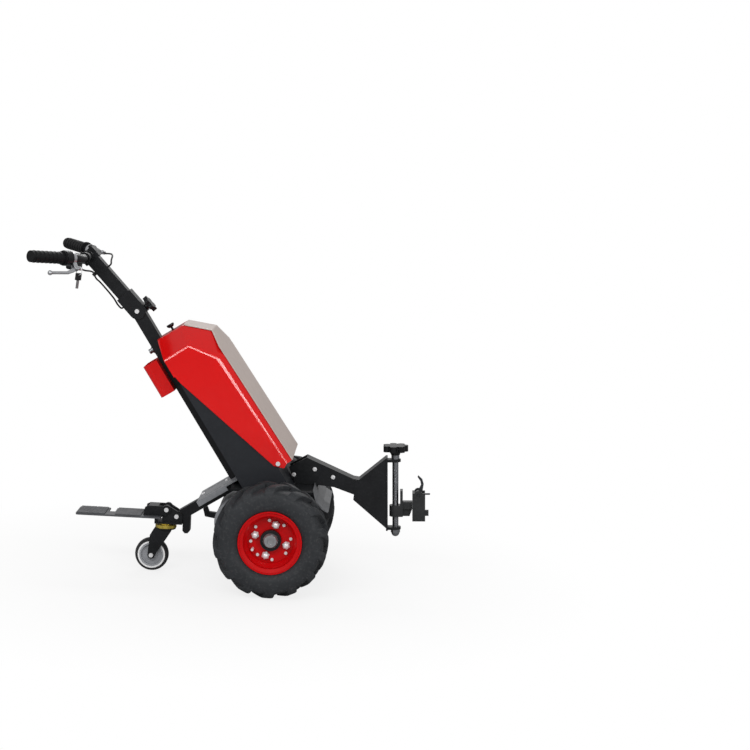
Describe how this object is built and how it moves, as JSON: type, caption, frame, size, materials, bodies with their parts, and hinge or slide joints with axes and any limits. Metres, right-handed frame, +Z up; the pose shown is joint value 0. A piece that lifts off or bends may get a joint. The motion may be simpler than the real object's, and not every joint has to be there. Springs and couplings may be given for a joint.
{
  "type": "walk behind electric tug",
  "caption": "Walk-behind electric tug with two lugged drive wheels, a swivel caster, a folding step, a leaned battery body, a tilting handle and a screw-height hitch.",
  "frame": {"origin": "middle of the bounding box's underside, on the ground under the machine", "axes": "+X forward to the hitch, +Y to the left side, +Z up from the ground"},
  "size_m": [1.1636, 0.5874, 0.9653],
  "materials": {
    "tyre": "matt",
    "red_paint": "gloss",
    "chrome": "polished",
    "steel": "satin",
    "black_metal": "satin powder coat",
    "dark_metal": "matt",
    "aluminium": "satin",
    "yellow_zinc": "yellow zinc plate",
    "black_rubber": "matt",
    "grey_plastic": "matt",
    "grey_rubber": "matt",
    "charcoal_metal": "satin",
    "battery_plastic": "matt",
    "red_plastic": "gloss",
    "beige_plastic": "gloss",
    "black_plastic": "matt",
    "grey_metal": "satin"
  },
  "bodies": {
    "chassis": {"transaxle": "dark_metal", "drive_motor": "aluminium", "axle_bearings": "steel", "main_frame": "black_metal", "rear_arm": "black_metal", "arm_deck": "black_metal", "torque_link": "black_metal", "caster_bracket": "black_metal", "caster_race": "yellow_zinc", "frame_bolts": "chrome", "battery_box": "charcoal_metal", "batteries": "battery_plastic", "controller": "aluminium", "column": "black_metal", "rear_pocket": "red_plastic", "charge_socket": "steel", "drawbar": "black_metal", "front_guard": "grey_metal"},
    "wheel_left": {"tyre_left": "tyre", "rim_left": "red_paint", "hub_left": "black_metal", "wheel_nuts_left": "chrome", "axle_left": "steel"},
    "wheel_right": {"tyre_right": "tyre", "rim_right": "red_paint", "hub_right": "black_metal", "wheel_nuts_right": "chrome", "axle_right": "steel"},
    "caster_swivel": {"caster_fork": "black_metal", "caster_axle": "chrome"},
    "caster_roller": {"caster_wheel": "black_rubber", "caster_core": "grey_plastic"},
    "step": {"step_plate": "black_metal", "step_mats": "grey_rubber", "step_bracket": "black_metal"},
    "hood": {"hood": "red_plastic", "hood_panel": "beige_plastic"},
    "latch": {"latch_knob": "black_plastic"},
    "handle": {"handle_tube": "black_metal", "bar_clamp": "chrome", "handlebar": "black_metal", "control_box": "black_plastic", "grip_left": "black_rubber", "throttle_body": "black_plastic", "lever_perches": "aluminium", "brake_cables": "black_rubber", "cable_clips": "black_plastic", "key_ring": "steel"},
    "clamp_knob": {"star_knob": "black_plastic"},
    "throttle": {"throttle_grip": "black_rubber"},
    "lever_left": {"brake_lever_left": "aluminium"},
    "lever_right": {"brake_lever_right": "aluminium"},
    "key_bunch": {"keys": "steel"},
    "screw": {"hitch_screw": "steel", "hand_wheel": "black_plastic", "screw_nut": "chrome"},
    "carriage": {"hitch_carriage": "black_metal", "coupler": "black_metal"},
    "hook": {"coupler_hook": "dark_metal"}
  },
  "joints": [
    {"name": "wheel_left_spin", "type": "hinge", "parent": "chassis", "child": "wheel_left", "pos_m": [0.12882, 0, 0.165], "axis": [0, 1, 0], "continuous": true},
    {"name": "wheel_right_spin", "type": "hinge", "parent": "chassis", "child": "wheel_right", "pos_m": [0.12882, 0, 0.165], "axis": [0, 1, 0], "continuous": true},
    {"name": "caster_swivel_turn", "type": "hinge", "parent": "chassis", "child": "caster_swivel", "pos_m": [-0.2003, 0, 0.135], "axis": [0, 0, 1], "continuous": true},
    {"name": "caster_roll", "type": "hinge", "parent": "caster_swivel", "child": "caster_roller", "pos_m": [-0.2393, 0, 0.05], "axis": [0, 1, 0], "continuous": true},
    {"name": "step_fold", "type": "hinge", "parent": "chassis", "child": "step", "pos_m": [-0.1973, 0, 0.191], "axis": [0, 1, 0], "range_deg": [0, 88]},
    {"name": "hood_open", "type": "hinge", "parent": "chassis", "child": "hood", "pos_m": [0.13484, 0, 0.37041], "axis": [0, 1, 0], "range_deg": [0, 50]},
    {"name": "latch_turn", "type": "hinge", "parent": "hood", "child": "latch", "pos_m": [-0.20003, 0, 0.72647], "axis": [-0.5446, 0, 0.8387], "range_deg": [0, 90]},
    {"name": "handle_tilt", "type": "hinge", "parent": "chassis", "child": "handle", "pos_m": [-0.30423, 0, 0.77804], "axis": [0, 1, 0], "range_deg": [-45, 8]},
    {"name": "clamp_knob_turn", "type": "hinge", "parent": "handle", "child": "clamp_knob", "pos_m": [-0.282, 0, 0.78949], "axis": [0.7254, 0, 0.6884], "range_deg": [-180, 180]},
    {"name": "throttle_twist", "type": "hinge", "parent": "handle", "child": "throttle", "pos_m": [-0.49384, -0.19002, 0.93641], "axis": [-0.6259, -0.7771, 0.0658], "range_deg": [0, 60], "stiffness_Nm_per_rad": 0.3},
    {"name": "brake_left_pull", "type": "hinge", "parent": "handle", "child": "lever_left", "pos_m": [-0.44997, 0.18914, 0.92942], "axis": [0.1582, 0.0439, 0.9864], "range_deg": [0, 13], "stiffness_Nm_per_rad": 1.5},
    {"name": "brake_right_pull", "type": "hinge", "parent": "handle", "child": "lever_right", "pos_m": [-0.461, -0.18211, 0.90756], "axis": [-0.6443, 0.4677, -0.6051], "range_deg": [0, 13], "stiffness_Nm_per_rad": 1.5},
    {"name": "keys_swing", "type": "hinge", "parent": "handle", "child": "key_bunch", "pos_m": [-0.45325, -0.17007, 0.88794], "axis": [0.7729, -0.6293, -0.0812], "range_deg": [-30, 30]},
    {"name": "hitch_lift", "type": "slide", "parent": "chassis", "child": "carriage", "axis": [-0.0523, 0, 0.9986], "range_m": [-0.028, 0.08]},
    {"name": "screw_turn", "type": "hinge", "parent": "chassis", "child": "screw", "pos_m": [0.47882, 0, 0.27], "axis": [-0.0523, 0, 0.9986], "range_deg": [-5765, 2020]},
    {"name": "hook_lift", "type": "hinge", "parent": "carriage", "child": "hook", "pos_m": [0.54663, 0, 0.27556], "axis": [0, -1, 0], "range_deg": [0, 50], "stiffness_Nm_per_rad": 0.3}
  ],
  "couplings": [
    {"joint": "screw_turn", "follows": "hitch_lift", "rad_per_m": -1256.6}
  ]
}
